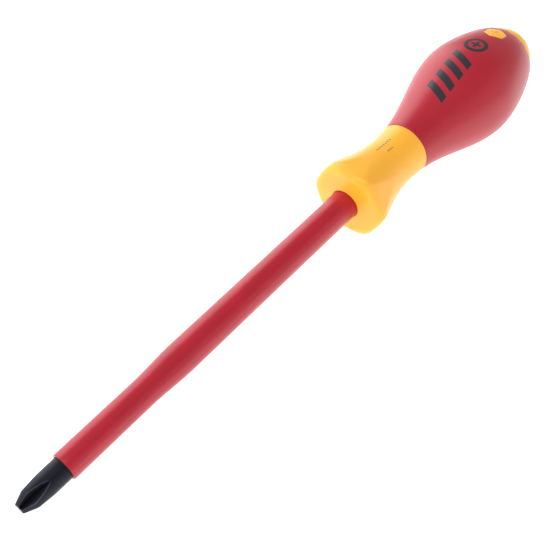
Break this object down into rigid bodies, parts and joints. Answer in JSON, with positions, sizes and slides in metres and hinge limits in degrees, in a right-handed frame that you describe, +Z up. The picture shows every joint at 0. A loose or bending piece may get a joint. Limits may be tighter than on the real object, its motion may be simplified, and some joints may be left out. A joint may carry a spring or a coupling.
{
  "type": "insulated cross-recess screwdriver",
  "caption": "Insulated screwdriver: dark cross-recess tip, sleeved round blade, hexagonal anti-roll guard, waisted neck and bulbous grip with a domed cap.",
  "frame": {"origin": "middle of the bottom of the box of the whole tool, which lies on its bulb and its tip", "axes": "+X along the tool from the tip towards the cap, level with the surface that it lies on; +Z up. The tool's own axis climbs 4 degrees from +X."},
  "size_m": [0.2698, 0.041, 0.041],
  "materials": {
    "tool_steel": "dark blackened tool steel, ground, satin",
    "sleeve_insulation": "moulded red insulation, satin",
    "yellow_moulding": "moulded yellow plastic, soft gloss, slightly translucent",
    "core_moulding": "hard moulded plastic, hidden",
    "red_grip": "moulded soft red grip, satin"
  },
  "bodies": {
    "root": {"blade": "tool_steel", "blade_sleeve": "sleeve_insulation", "guard_collar": "yellow_moulding", "handle_core": "core_moulding", "grip_shell": "red_grip", "symbol_inlay": "yellow_moulding", "end_cap": "yellow_moulding"}
  },
  "joints": []
}
